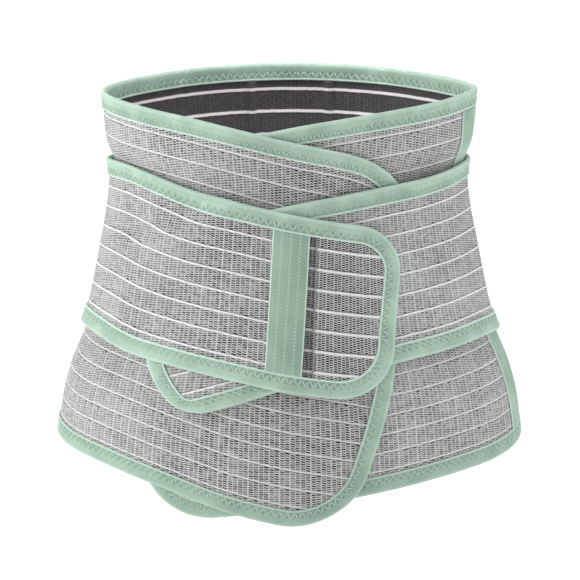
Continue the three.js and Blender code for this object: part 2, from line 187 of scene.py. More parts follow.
class BinderShape(bpy.types.PropertyGroup):
    """Driving sizes of the torso and of the two bands round it."""

    waist_width: length("Waist width", 0.238, "Width of the panel's fabric at the waist")
    waist_depth: length("Waist depth", 0.176, "Depth of the panel's fabric at the waist")
    torso_height: length("Torso height", 0.240, "Height that the torso's sections are spread over")
    rim_height: length("Rim height", 0.062, "Height of the panel's rim above the waist, at the back")
    hem_depth: length("Hem depth", 0.180, "Depth of the panel's hem below the waist, at the sides")
    belt_height: length("Belt height", 0.120, "Height of the waist belt")
    side_taper: FloatProperty(
        name="Side taper", description="Share by which the sides are drawn in from an ellipse",
        default=0.5, min=0, max=1, subtype="FACTOR",
    )


class BinderCloth(bpy.types.PropertyGroup):
    """Thicknesses, tapes and the spacing of the cloth's pattern."""

    fabric: length("Fabric", 0.0012, "Thickness of the elastic mesh")
    tape: length("Tape", 0.0007, "Thickness of the tapes and of each wall of the binding")
    clearance: length("Clearance", 0.0003, "Gap between a tape and the fabric under it")
    layer_gap: length("Layer gap", 0.0008, "Gap between bound edges that lie on each other")
    binding_width: length("Binding width", 0.012, "Width of the folded binding on each face")
    edge_inset: length("Edge inset", 0.0016, "How far the fabric stops short of the fold")
    seam_gap: length("Seam gap", 0.0003, "Gap between two panels at a seam")
    tape_width: length("Tape width", 0.025, "Width of the side, back and cross tapes")
    stay_width: length("Stay width", 0.008, "Width of a stay's channel")
    stay_spacing: length("Stay spacing", 0.052, "Distance between the two back stays")
    rib_pitch: length("Rib pitch", 0.0060, "Spacing of the upright ribs in the unstretched mesh")
    rib_height: length("Rib height", 0.00006, "Height of the upright ribs")
    line_height: length("Line height", 0.00016, "Height of the white lines")
    inner_line_width: length("Inner line width", 0.0021, "Width of the lines on the inner face")
    border: length("Border", 0.0060, "Width of the bare strip between the cross tape and the tab's face")
    face_height: length("Face height", 0.0006, "Height of the tab's face over the bare strip")
    stitch_pitch: length("Stitch pitch", 0.0054, "Length of one tooth of the zigzag stitch")
    stitch_height: length("Stitch height", 0.0046, "Height of one tooth of the zigzag stitch")
    thread: length("Thread", 0.00062, "Thickness of the stitching thread")
    wave: length("Wave", 0.0006, "Size of the slow waves in the worn cloth")


class BinderColours(bpy.types.PropertyGroup):
    """Colours of the cloth, tapes, thread and stage."""

    mesh_light: colour("Mesh yarn", (0.475, 0.475, 0.475), "Light yarn of the outer face")
    mesh_dark: colour("Mesh ground", (0.018, 0.0175, 0.018), "Dark ground between the yarns")
    line: colour("Line", (0.68, 0.68, 0.68), "White lines of the outer face")
    inner: colour("Inner face", (0.080, 0.074, 0.080), "Charcoal inner face")
    inner_line: colour("Inner line", (0.74, 0.69, 0.71), "Lines of the inner face")
    green_light: colour("Light green", (0.375, 0.515, 0.420), "Lit yarn of the binding")
    green_dark: colour("Dark green", (0.13, 0.215, 0.16), "Shaded yarn of the binding")
    green_edge: colour("Edge green", (0.54, 0.68, 0.59), "Selvedge of the binding and tapes")
    tape_light: colour("Light tape", (0.41, 0.545, 0.45), "Raised yarn of the flat tapes")
    tape_dark: colour("Dark tape", (0.14, 0.225, 0.17), "Sunk yarn of the flat tapes")
    thread: colour("Green thread", (0.56, 0.69, 0.60), "Thread of the zigzag stitch")
    grey_thread: colour("Grey thread", (0.42, 0.41, 0.42), "Thread along the tab's raised face")
    hook: colour("Hook pad", (0.16, 0.16, 0.17), "Hook pads inside the lapping ends")
    floor: colour("Floor", (0.90, 0.90, 0.90), "Floor and sky of the studio")


def through(table, key, column, at):
    """Smooth curve through one column of a table, at values of its key column."""
    rows = sorted(table, key=lambda row: getattr(row, key))
    keys = np.array([getattr(row, key) for row in rows], float)
    values = np.array([getattr(row, column) for row in rows], float)
    last = len(rows) - 1
    i = np.clip(np.searchsorted(keys, at, side="right") - 1, 0, last - 1)
    before = np.maximum(i - 1, 0)
    after = np.minimum(i + 2, last)
    span = keys[i + 1] - keys[i]
    a, b = values[i], values[i + 1]
    start = (b - values[before]) / (keys[i + 1] - keys[before]) * span
    stop = (values[after] - a) / (keys[after] - keys[i]) * span
    t = np.clip((at - keys[i]) / span, 0, 1)
    return a + t * (start + t * (3 * (b - a) - 2 * start - stop + t * (start + stop - 2 * (b - a))))


def mix(a, b, share):
    """Value at a share of the way from a to b."""
    return a + (b - a) * share


def smooth(value, start, full):
    """Smooth step from 0 at start to 1 at full."""
    share = np.clip((value - start) / (full - start), 0, 1)
    return share * share * (3 - 2 * share)


class Torso:
    """The surface that the panel's fabric lies on, with the sizes that all pieces share."""

    def __init__(self, scene):
        self.shape = scene.binder_shape
        self.cloth = scene.binder_cloth
        self.bound_half = self.cloth.fabric / 2 + self.cloth.clearance + self.cloth.tape
        self.layer_pitch = 2 * self.bound_half + self.cloth.layer_gap

    def place(self, angle, z, lift):
        """Points at angles and heights, lifted outwards from the surface."""
        shape = self.shape
        level = z / shape.torso_height
        half_width = through(TORSO_SECTIONS, "level", "width", level) * shape.waist_width / 2
        half_depth = through(TORSO_SECTIONS, "level", "depth", level) * shape.waist_depth / 2
        turn = np.radians(angle)
        s, c = np.sin(turn), np.cos(turn)
        taper = shape.side_taper
        x = half_width * s
        y = -half_depth * c * (1 - taper + taper * np.abs(c))
        out_x = half_depth * s * (1 - taper + 2 * taper * np.abs(c))
        out_y = -half_width * c
        reach = np.hypot(out_x, out_y)
        lift = lift + self.wave(turn, z)
        return np.stack([x + lift * out_x / reach, y + lift * out_y / reach, z + 0 * x], axis=-1)

    def wave(self, turn, z):
        """Slow waves that all layers share, so that they stay clear of each other."""
        climb = z / self.shape.torso_height * 2 * np.pi
        waves = np.sin(7 * turn + 1.1 * climb) + 0.7 * np.sin(11 * turn - 1.7 * climb + 1)
        return self.cloth.wave * waves * 0.4

    def per_degree(self, angle, z):
        """Metres of cloth to one degree round the body."""
        return np.linalg.norm(self.place(angle + 0.5, z, 0) - self.place(angle - 0.5, z, 0), axis=-1)

    def degrees(self, size, angle):
        """Degrees round the waist that a length of cloth takes at an angle."""
        return size / float(self.per_degree(np.float64(angle), 0.0))


class Band:
    """The panel or the belt: its edges, its lift off the torso and its two ends."""

    def __init__(self, torso, edges, above, below, ends, lift, nominal):
        self.torso = torso
        self.edges = edges
        self.above = above
        self.below = below
        self.over_end, self.under_end = ends
        self.lift = lift
        self.nominal = nominal

    def top(self, angle):
        return through(self.edges, "angle", "top", angle) * self.above

    def bottom(self, angle):
        return through(self.edges, "angle", "bottom", angle) * self.below

    def height(self, angle):
        return self.top(angle) - self.bottom(angle)

    def point(self, angle, share, lift):
        """Points of the band: share is 0 at its top edge and 1 at its bottom edge."""
        z = mix(self.top(angle), self.bottom(angle), share)
        return self.torso.place(angle, z, self.lift(angle, z) + lift)

    def per_degree(self, angle, share):
        """Metres of this band's cloth to one degree round the body."""
        step = self.point(angle + 0.5, share, 0) - self.point(angle - 0.5, share, 0)
        return np.linalg.norm(step, axis=-1)

    def girth(self):
        """Angles and the lengths of cloth from the front centre to them, at half height."""
        angle = np.arange(-430.0, 61.0)
        steps = self.per_degree(angle[:-1] + 0.5, 0.5)
        along = np.concatenate([[0], np.cumsum(steps)])
        return angle, along - np.interp(0, angle, along)

    def outward(self, angle, share):
        """Unit vectors that point away from the body."""
        step = self.point(angle, share, 0.001) - self.point(angle, share, 0)
        return step / np.linalg.norm(step, axis=-1, keepdims=True)

    def angle_from_end(self, end, share, inset):
        """Angle at a length in from an end, at a share of the height."""
        line = mix(end.top_angle, end.bottom_angle, share) + end.bulge_angle * 4 * share * (1 - share)
        z = mix(self.top(line), self.bottom(line), share)
        sample = line - end.side * 6
        return line - end.side * inset / self.torso.per_degree(sample, z)

    def end_station(self, end, from_edge, from_end, at_bottom):
        """Angle and share at lengths from an end and from the top or bottom edge."""
        angle = from_edge * 0 + (end.bottom_angle if at_bottom else end.top_angle)
        for _ in range(3):
            part = from_edge / self.height(angle)
            share = 1 - part if at_bottom else part
            angle = self.angle_from_end(end, share, from_end)
        return np.stack([angle, share], axis=-1)

    def end_ring(self, end, insets, corner_steps, straight_steps):
        """Stations along an end, from its top corner to its bottom corner, at several insets."""
        turn = np.linspace(0, np.pi / 2, corner_steps + 1)[:, None]
        corners = []
        for radius, at_bottom in ((end.top_radius, False), (end.bottom_radius, True)):
            reach = radius - insets[None, :]
            from_edge = radius - reach * np.cos(turn)
            from_end = radius - reach * np.sin(turn)
            corners.append(self.end_station(end, from_edge, from_end, at_bottom))
        first, last = corners[0][-1, :, 1], corners[1][-1, :, 1]
        part = np.linspace(0, 1, straight_steps + 1)[1:-1, None]
        share = mix(first[None, :], last[None, :], part)
        angle = self.angle_from_end(end, share, insets[None, :])
        return np.concatenate([corners[0], np.stack([angle, share], axis=-1), corners[1][::-1]])

    def edge_row(self, high, low, insets, steps, at_bottom):
        """Stations along the top or bottom edge, between two angles."""
        angle = mix(high[None, :], low[None, :], np.linspace(0, 1, steps + 1)[1:-1, None])
        part = insets[None, :] / self.height(angle)
        return np.stack([angle, 1 - part if at_bottom else part], axis=-1)

    def outline(self, insets):
        """Stations round the whole outline, and the lengths to them and to the first one again.

        The stations have a row for each place on the outline and a column for each inset.
        """
        insets = np.array(insets, float)
        straight_steps = round(self.nominal / OUTLINE_STEP)
        over = self.end_ring(self.over_end, insets, CORNER_STEPS, straight_steps)
        under = self.end_ring(self.under_end, insets, CORNER_STEPS, straight_steps)
        mean_degree = float(self.torso.per_degree(np.array([0.0, 90.0]), 0.0).mean())
        steps = round((over[0, 0, 0] - under[0, 0, 0]) * mean_degree / OUTLINE_STEP)
        bottom = self.edge_row(over[-1, :, 0], under[-1, :, 0], insets, steps, True)
        top = self.edge_row(over[0, :, 0], under[0, :, 0], insets, steps, False)
        stations = np.concatenate([over, bottom, under[::-1], top[::-1]])
        line = self.point(stations[:, 0, 0], stations[:, 0, 1], 0)
        gaps = np.linalg.norm(np.diff(np.concatenate([line, line[:1]]), axis=0), axis=1)
        return stations, np.concatenate([[0], np.cumsum(gaps)])


def panel_band(torso):
    """The tall body panel."""
    return Band(
        torso, PANEL_EDGES, torso.shape.rim_height, torso.shape.hem_depth,
        (PANEL_OVER_END, PANEL_UNDER_END),
        lambda angle, z: torso.layer_pitch * smooth(angle, *WING_CLIMB),
        torso.shape.torso_height,
    )


def belt_band(torso):
    """The waist belt. Above its lower layer, the upper one falls back against the panel."""
    height = torso.shape.belt_height

    def lift(angle, z):
        over_wing, over_tip, under_part = (smooth(angle, *climb) for climb in BELT_CLIMBS)
        beneath = through(BELT_EDGES, "angle", "top", angle - 360) * height
        over_tip = over_tip * (1 - smooth(z - beneath, 0.005, 0.020))
        return torso.layer_pitch * (1 + over_wing + over_tip + under_part)

    return Band(
        torso, BELT_EDGES, height, height, (BELT_OVER_END, BELT_UNDER_END), lift, height
    )


# Where the white lines lie on a band: the first line's distance from the top edge, the first
# spacing, how much each next spacing is shorter and a line's width, as shares of the band's
# nominal height
Lines = namedtuple("Lines", "first pitch shrink count width")
PANEL_LINES = Lines(15.8 / 240, 13.4 / 240, 0.061 / 240, 18, 1.0 / 240)
BACK_LINES = Lines(18.3 / 240, 15.7 / 240, 0, 14, 1.0 / 240)
BELT_LINES = Lines(20.3 / 120, 13.9 / 120, 0, 7, 1.1 / 120)
TAB_LINES = BELT_LINES._replace(width=1.6 / 120)

# Spacing of the rows of dashes in the mesh
ROW_PITCH = 0.0016

# How finely the outlines are followed: the step along them and the steps round a corner
OUTLINE_STEP = 0.002
CORNER_STEPS = 16

# Points closer than this are one point
TOUCHING = 1e-7

# Half the length over which the tab's raised face climbs from the bare strip
FACE_RAMP = 0.0002

# Herringbone weave of the cross tape: width of one column, steepness and spacing of its ribs
WEAVE_COLUMN = 0.00625
WEAVE_LEAN = 1.7
WEAVE_PITCH = 0.0024


def line_number(lines, share):
    """Counts the white lines, evenly spaced, down to a share of the height."""
    down = share - lines.first
    if not lines.shrink:
        return down / lines.pitch
    inside = lines.pitch ** 2 - 4 * lines.shrink * down
    return (lines.pitch - np.sqrt(inside)) / (2 * lines.shrink)


def line_share(lines, number):
    """Share of the height at which a white line lies."""
    return lines.first + number * lines.pitch - lines.shrink * number ** 2


def line_across(angles):
    """Angle, at a share of a band's height, of a line with these angles at its top and bottom."""
    return lambda share: mix(*angles, share)


def new_piece(name, bm, materials, replaces=()):
    """Turns a bmesh into a piece of the object that rides on the body."""
    mesh = bpy.data.meshes.new(name)
    bm.to_mesh(mesh)
    bm.free()
    mesh.shade_smooth()
    for material in materials:
        mesh.materials.append(material)
    piece = bpy.data.objects.new(name, mesh)
    bpy.context.scene.collection.objects.link(piece)
    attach(piece, "root")
    if replaces:
        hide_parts(*replaces)
    return piece


def flat_grid(columns, rows):
    """Flat grid whose corners lie at the given values of x and y."""
    bm = bmesh.new()
    x_last, y_last = len(columns) - 1, len(rows) - 1
    bmesh.ops.create_grid(bm, x_segments=x_last, y_segments=y_last, size=0.5)
    for vert in bm.verts:
        vert.co.x = columns[round((vert.co.x + 0.5) * x_last)]
        vert.co.y = rows[round((vert.co.y + 0.5) * y_last)]
    return bm


def set_uvs(bm, at):
    """Gives each corner the UV that at(x, y) has there, in metres of cloth."""
    uv = bm.loops.layers.uv.verify()
    co = np.array([vert.co for vert in bm.verts])
    spots = at(co[:, 0], co[:, 1])
    bm.verts.index_update()
    for face in bm.faces:
        for loop in face.loops:
            loop[uv].uv = spots[loop.vert.index]


def move_corners(bm, at):
    """Moves each corner of a flat grid to at(x, y)."""
    co = np.array([vert.co for vert in bm.verts])
    for vert, spot in zip(bm.verts, at(co[:, 0], co[:, 1])):
        vert.co = spot


def cut_along(bm, line, near_x):
    """Cuts a flat grid along a line of points and drops what lies to the line's left."""
    low_x, high_x = near_x
    for a, b in zip(line[:-1], line[1:]):
        across = Vector((a[1] - b[1], b[0] - a[0], 0))
        if across.length < TOUCHING:
            continue
        faces = [f for f in bm.faces if any(low_x <= v.co.x <= high_x for v in f.verts)]
        edges = {e for f in faces for e in f.edges}
        verts = {v for f in faces for v in f.verts}
        bmesh.ops.bisect_plane(
            bm, geom=[*verts, *edges, *faces], dist=TOUCHING,
            plane_co=(a[0], a[1], 0), plane_no=across, clear_outer=True,
        )


def solidify(piece, thickness, inner_material):
    """Gives a sheet its thickness, inwards from its outer face."""
    modifier = piece.modifiers.new("Thickness", "SOLIDIFY")
    modifier.thickness = thickness
    modifier.offset = -1
    modifier.use_even_offset = False
    modifier.material_offset = inner_material
    modifier.material_offset_rim = inner_material


def cloth_rows(band, lines):
    """Shares of a band's height for the rows of its fabric, closer together at the white lines."""
    half = lines.width
    shares = [0, 1]
    for number in range(-2, lines.count + 2):
        middle = line_share(lines, number)
        shares += [middle + half * step for step in (-0.85, -0.5, 0, 0.5, 0.85)]
        gap = line_share(lines, number + 1) - middle
        shares += [middle + gap * part for part in (0.28, 0.5, 0.72)]
    inside = sorted({share for share in shares if 0.004 < share < 0.996})
    return [0, *inside, 1]


def fabric(band, lines, high, low, name, materials, replaces, stretch=1.0, skew=None, border=None):
    """Sheet of elastic mesh between two limits, each a band's end or the angles of a seam.

    skew gives the angle that the upright ribs have at a share of the height. border is the
    distance from there at which the sheet's raised face starts.
    """
    cloth = band.torso.cloth
    skew = skew or (lambda share: share * 0)
    angles, lengths = band.girth()
    reach = []
    for limit in (high, low):
        if isinstance(limit, End):
            line = band.end_ring(limit, np.array([cloth.edge_inset]), CORNER_STEPS, 24)[:, 0, :]
        else:
            line = np.linspace([limit[0], 0.0], [limit[1], 1.0], 7)
        along = np.interp(line[:, 0] - skew(line[:, 1]), angles, lengths)
        reach.append(np.stack([along, 1 - line[:, 1]], axis=-1))
    highest, lowest = reach[0][:, 0].max(), reach[1][:, 0].min()
    rib = cloth.rib_pitch * stretch
    columns = list(np.arange(np.ceil(lowest / rib * 4), np.floor(highest / rib * 4) + 1) * rib / 4)
    if border:
        columns += [border - FACE_RAMP, border + FACE_RAMP]
    columns = sorted([lowest, highest, *columns])
    columns = [spot for i, spot in enumerate(columns) if i == 0 or spot - columns[i - 1] > 1e-4]
    rows = [1 - share for share in reversed(cloth_rows(band, lines))]
    bm = flat_grid(columns, rows)
    for line, onward in zip(reach, (1, -1)):
        if np.ptp(line[:, 0]) > 1e-6:
            cut_along(bm, line[::onward], (line[:, 0].min() - 0.002, line[:, 0].max() + 0.002))

    def spot_at(x, y):
        angle = np.interp(x, lengths, angles) + skew(1 - y)
        part = cloth.edge_inset / band.height(angle)
        share = mix(part, 1 - part, 1 - y)
        return angle, share

    def uv_at(x, y):
        number = line_number(lines, spot_at(x, y)[1])
        return np.stack([x, number * lines.pitch * band.nominal], axis=-1)

    def point_at(x, y):
        angle, share = spot_at(x, y)
        number = line_number(lines, share)
        off = np.abs(number - np.round(number)) * lines.pitch * band.nominal
        width = lines.width * band.nominal
        ridge = 1 - smooth(off, width * 0.2, width * 0.85)
        wale = 0.5 + 0.5 * np.cos(2 * np.pi * x / rib)
        relief = cloth.line_height * ridge + cloth.rib_height * wale * (1 - ridge)
        if border:
            relief = relief + cloth.face_height * smooth(x, border - FACE_RAMP, border + FACE_RAMP)
        return band.point(angle, share, cloth.fabric / 2 + relief - cloth.line_height / 2)

    set_uvs(bm, uv_at)
    move_corners(bm, point_at)
    piece = new_piece(name, bm, materials, replaces)
    solidify(piece, cloth.fabric, 1)
    return piece


def binding_profile(cloth):
    """Closed section of the folded binding, as insets from the edge and lifts off the fabric."""
    flat = cloth.fabric / 2 + cloth.clearance + cloth.tape
    wall = [(row.inset * cloth.binding_width, flat + row.rise * cloth.tape) for row in BINDING_WALL]
    nose = [(0.0, 0.0)]
    back = [(inset, -lift) for inset, lift in reversed(wall)]
    hollow = cloth.fabric / 2 + cloth.clearance / 2
    mouth = cloth.binding_width
    inner = cloth.edge_inset - cloth.clearance
    return [*wall, *nose, *back, (mouth, -hollow), (inner, -hollow), (inner, hollow), (mouth, hollow)]


def binding(band, name, material, replaces):
    """Folded tape round the whole outline of a band."""
    cloth = band.torso.cloth
    profile = binding_profile(cloth)
    insets = sorted({inset for inset, _ in profile})
    stations, along = band.outline(insets)
    column_of = np.array([insets.index(inset) for inset, _ in profile])
    lifts = np.array([lift for _, lift in profile])
    across = np.concatenate([[0], np.cumsum(np.hypot(*np.diff(np.array(profile), axis=0).T))])
    count, sides = len(stations), len(profile)
    bm = flat_grid(range(count + 1), range(sides + 1))

    def uv_at(x, y):
        row = y.astype(int)
        width = np.append(across, across[-1] + 2 * cloth.fabric)
        return np.stack([along[x.round().astype(int)], width[row.clip(0, sides)]], axis=-1)

    def point_at(x, y):
        station = x.round().astype(int) % count
        part = y.round().astype(int) % sides
        spots = stations[station, column_of[part]]
        return band.point(spots[:, 0], spots[:, 1], lifts[part])

    set_uvs(bm, uv_at)
    move_corners(bm, point_at)
    bmesh.ops.remove_doubles(bm, verts=bm.verts, dist=1e-6)
    bmesh.ops.recalc_face_normals(bm, faces=bm.faces)
    return new_piece(name, bm, [material], replaces)


def thread_line(points, outward, radius, closed, bm=None):
    """Adds a four-sided thread along a line of points."""
    sides = 4
    count = len(points)
    grid = flat_grid(range(count + (1 if closed else 0)), range(sides + 1))
    ahead = np.roll(points, -1, axis=0) - np.roll(points, 1, axis=0)
    if not closed:
        ahead[0] = points[1] - points[0]
        ahead[-1] = points[-1] - points[-2]
    ahead /= np.linalg.norm(ahead, axis=1, keepdims=True)
    sideways = np.cross(ahead, outward)
    sideways /= np.linalg.norm(sideways, axis=1, keepdims=True)

    def point_at(x, y):
        i = x.round().astype(int) % count
        turn = (y / sides * 2 * np.pi)[:, None]
        return points[i] + radius * (np.cos(turn) * outward[i] + np.sin(turn) * sideways[i])

    set_uvs(grid, lambda x, y: np.stack([x * 0.001, y * 0.0005], axis=-1))
    move_corners(grid, point_at)
    bmesh.ops.remove_doubles(grid, verts=grid.verts, dist=TOUCHING)
    if not closed:
        bmesh.ops.holes_fill(grid, edges=[e for e in grid.edges if e.is_boundary])
    bmesh.ops.recalc_face_normals(grid, faces=grid.faces)
    if bm is None:
        return grid
    joined = bpy.data.meshes.new("thread")
    grid.to_mesh(joined)
    grid.free()
    bm.from_mesh(joined)
    bpy.data.meshes.remove(joined)
    return bm


def legs(leg):
    """How far along its tooth, and how high over its leg, a zigzag thread is at a count of legs."""
    return np.abs((leg + 1) % 2 - 1), np.sin(np.pi * (leg % 1))


def zigzag(band, name, material):
    """Zigzag stitching through the binding, on its outer and its inner face."""
    cloth = band.torso.cloth
    edge = cloth.binding_width * STITCH_INSET - cloth.thread / 2
    insets = [edge - cloth.stitch_height, edge]
    stations, along = band.outline(insets)
    loop = np.concatenate([stations, stations[:1]])
    teeth = round(along[-1] / cloth.stitch_pitch)
    steps_per_leg = 4
    count = teeth * 2 * steps_per_leg
    at = np.arange(count) / count * along[-1]
    tooth, arch = legs(np.arange(count) / steps_per_leg)
    angle, share = (
        mix(*(np.interp(at, along, loop[:, line, part]) for line in (0, 1)), tooth) for part in (0, 1)
    )
    flat = cloth.fabric / 2 + cloth.clearance + cloth.tape * 0.76
    bm = None
    for side in (1, -1):
        lift = side * (flat + cloth.thread * mix(-0.45, 0.28, arch))
        points = band.point(angle, share, lift)
        bm = thread_line(points, side * band.outward(angle, share), cloth.thread / 2, True, bm)
    return new_piece(name, bm, [material])


def border_stitches(band, name, material):
    """Zigzag stitching down the border of the tab's raised face."""
    cloth = band.torso.cloth
    teeth = round(band.nominal / (cloth.stitch_pitch * 0.4))
    steps_per_leg = 3
    leg = np.arange(teeth * 2 * steps_per_leg + 1) / steps_per_leg
    tooth, arch = legs(leg)
    share = mix(0.105, 0.895, leg / leg[-1])
    angles, lengths = band.girth()
    reach = cloth.tape_width / 2 + cloth.border + (tooth - 0.6) * cloth.stitch_height * 0.4
    angle = np.interp(reach, lengths, angles) + line_across(CROSS_TAPE_ANGLES)(share)
    lift = cloth.fabric / 2 + cloth.face_height * mix(0.3, 1.0, tooth) + cloth.thread * 0.5 * arch
    points = band.point(angle, share, lift)
    bm = thread_line(points, band.outward(angle, share), cloth.thread * 0.42, False)
    return new_piece(name, bm, [material])


def strip(band, name, centre, width, side, profile, steps, material, replaces, lines=None):
    """Tape or channel laid across a band, between its two bindings.

    profile gives the lift off the cloth at a share across the strip and a length down it. With
    lines, the pattern down the strip is the one of those white lines.
    """
    cloth = band.torso.cloth
    columns = np.linspace(-0.5, 0.5, steps[0] + 1)
    rows = np.linspace(0, 1, steps[1] + 1)
    bm = flat_grid(list(columns * side), list(1 - rows[::-1]))

    def spot_at(x, y):
        margin = cloth.binding_width / band.height(centre(1 - y))
        share = mix(margin, 1 - margin, 1 - y)
        middle = centre(share)
        return middle + side * x * width / band.per_degree(middle, share), share

    def uv_at(x, y):
        down = spot_at(x, y)[1] * band.nominal
        if lines:
            down = line_number(lines, spot_at(x, y)[1]) * lines.pitch * band.nominal
        return np.stack([(x + 0.5) * width, down], axis=-1)

    def point_at(x, y):
        angle, share = spot_at(x, y)
        return band.point(angle, share, side * profile(x, share * band.nominal))

    set_uvs(bm, uv_at)
    move_corners(bm, point_at)
    piece = new_piece(name, bm, [material], replaces)
    solidify(piece, cloth.tape * 0.85, 0)
    return piece


def tape_profile(cloth, relief=None):
    """Section of a flat tape with soft selvedges, with an optional relief on its face."""
    near = cloth.fabric / 2 + cloth.clearance

    def profile(x, down):
        edge = np.clip((0.5 - np.abs(x)) * cloth.tape_width / cloth.tape, 0, 1)
        lift = near + cloth.tape * (0.6 + 0.4 * np.sqrt(1 - (1 - edge) ** 2))
        return lift if relief is None else lift + relief((x + 0.5) * cloth.tape_width, down)

    return profile


def herringbone(x, y):
    """Height of a herringbone weave, from 0 to 1, at a place on a tape."""
    slant = np.abs((x / WEAVE_COLUMN) % 2 - 1) * WEAVE_COLUMN * WEAVE_LEAN
    return 0.5 + 0.5 * np.cos(2 * np.pi * (y + slant) / WEAVE_PITCH)


class Socket:
    """Shader socket that joins others in Python expressions, each of which adds a Math node."""

    def __init__(self, shader, socket):
        self.shader = shader
        self.socket = socket

    def math(self, operation, *values):
        inputs = dict(enumerate((self, *values)))
        return self.shader.node("ShaderNodeMath", {"operation": operation}, inputs)

    def __add__(self, other):
        return self.math("ADD", other)

    __radd__ = __add__

    def __sub__(self, other):
        return self.math("SUBTRACT", other)

    def __rsub__(self, other):
        return self.shader.node("ShaderNodeMath", {"operation": "SUBTRACT"}, {0: other, 1: self})

    def __mul__(self, other):
        return self.math("MULTIPLY", other)

    __rmul__ = __mul__

    def __truediv__(self, other):
        return self.math("DIVIDE", other)

    def __abs__(self):
        return self.math("ABSOLUTE")

    def __mod__(self, other):
        return self.math("FLOORED_MODULO", other)

    def floor(self):
        return self.math("FLOOR")

    def fraction(self):
        return self.math("FRACT")

    def from_middle(self):
        """Distance from the middle of each whole step: 0 there and 0.5 at the step's ends."""
        return abs(self.fraction() - 0.5)

    def step(self, start, full):
        """Smooth step from 0 at start to 1 at full."""
        return self.shader.node(
            "ShaderNodeMapRange", {"interpolation_type": "SMOOTHSTEP"},
            {"Value": self, "From Min": start, "From Max": full},
        )

    def wave(self):
        """Cosine wave from 0 to 1, with a crest at each whole number."""
        return (self * (2 * np.pi)).math("COSINE") * 0.5 + 0.5


class Shader:
    """Material made of nodes, with one method that adds any node."""

    def __init__(self, name):
        self.material = bpy.data.materials.new(name)
        self.material.use_nodes = True
        self.tree = self.material.node_tree
        self.principled = self.tree.nodes["Principled BSDF"]

    def node(self, kind, settings=None, inputs=None, output=0):
        """Adds a node with its settings and inputs, and returns one of its outputs."""
        node = self.tree.nodes.new(kind)
        for key, value in (settings or {}).items():
            setattr(node, key, value)
        for key, value in (inputs or {}).items():
            self.feed(node.inputs[key], value)
        return Socket(self, node.outputs[output])

    def feed(self, socket, value):
        """Links a socket or sets its value."""
        if isinstance(value, Socket):
            self.tree.links.new(value.socket, socket)
        elif getattr(socket, "type", "") == "RGBA" and len(value) == 3:
            socket.default_value = (*value, 1)
        else:
            socket.default_value = value

    def split(self, vector):
        """The three parts of a vector."""
        node = self.tree.nodes.new("ShaderNodeSeparateXYZ")
        self.feed(node.inputs[0], vector)
        return [Socket(self, output) for output in node.outputs]

    def cloth_uv(self):
        """Place on the cloth in metres: along it and across it."""
        return self.split(self.node("ShaderNodeUVMap"))[:2]

    def place(self):
        """Place on the object in metres."""
        return self.node("ShaderNodeTexCoord", output=3)

    def colours(self, factor, a, b):
        """Mix of two colours."""
        node = self.tree.nodes.new("ShaderNodeMix")
        node.data_type = "RGBA"
        for key, value in ((0, factor), (6, a), (7, b)):
            self.feed(node.inputs[key], value)
        return Socket(self, node.outputs[2])

    def noise(self, scale, detail=2.0):
        """Noise from 0 to 1 that follows the object."""
        inputs = {"Vector": self.place(), "Scale": scale, "Detail": detail}
        return self.node("ShaderNodeTexNoise", None, inputs)

    def chance(self, x, y):
        """Fixed random number for each whole place."""
        spot = self.node("ShaderNodeCombineXYZ", None, {0: x, 1: y})
        return self.node("ShaderNodeTexWhiteNoise", {"noise_dimensions": "2D"}, {"Vector": spot})

    def finish(self, colour_value, roughness, height=None, bump=0.3, depth=0.0003, sheen=0.0):
        """Feeds the colour, roughness and relief to the surface."""
        self.feed(self.principled.inputs["Base Color"], colour_value)
        self.feed(self.principled.inputs["Roughness"], roughness)
        self.principled.inputs["Specular IOR Level"].default_value = 0.25
        self.principled.inputs["Sheen Weight"].default_value = sheen
        if height is not None:
            normal = self.node(
                "ShaderNodeBump", None, {"Strength": bump, "Distance": depth, "Height": height}
            )
            self.feed(self.principled.inputs["Normal"], normal)
        return self.material


def scaled(tint, factor):
    """Lighter or darker version of a colour."""
    return tuple(min(1, part * factor) for part in tint)


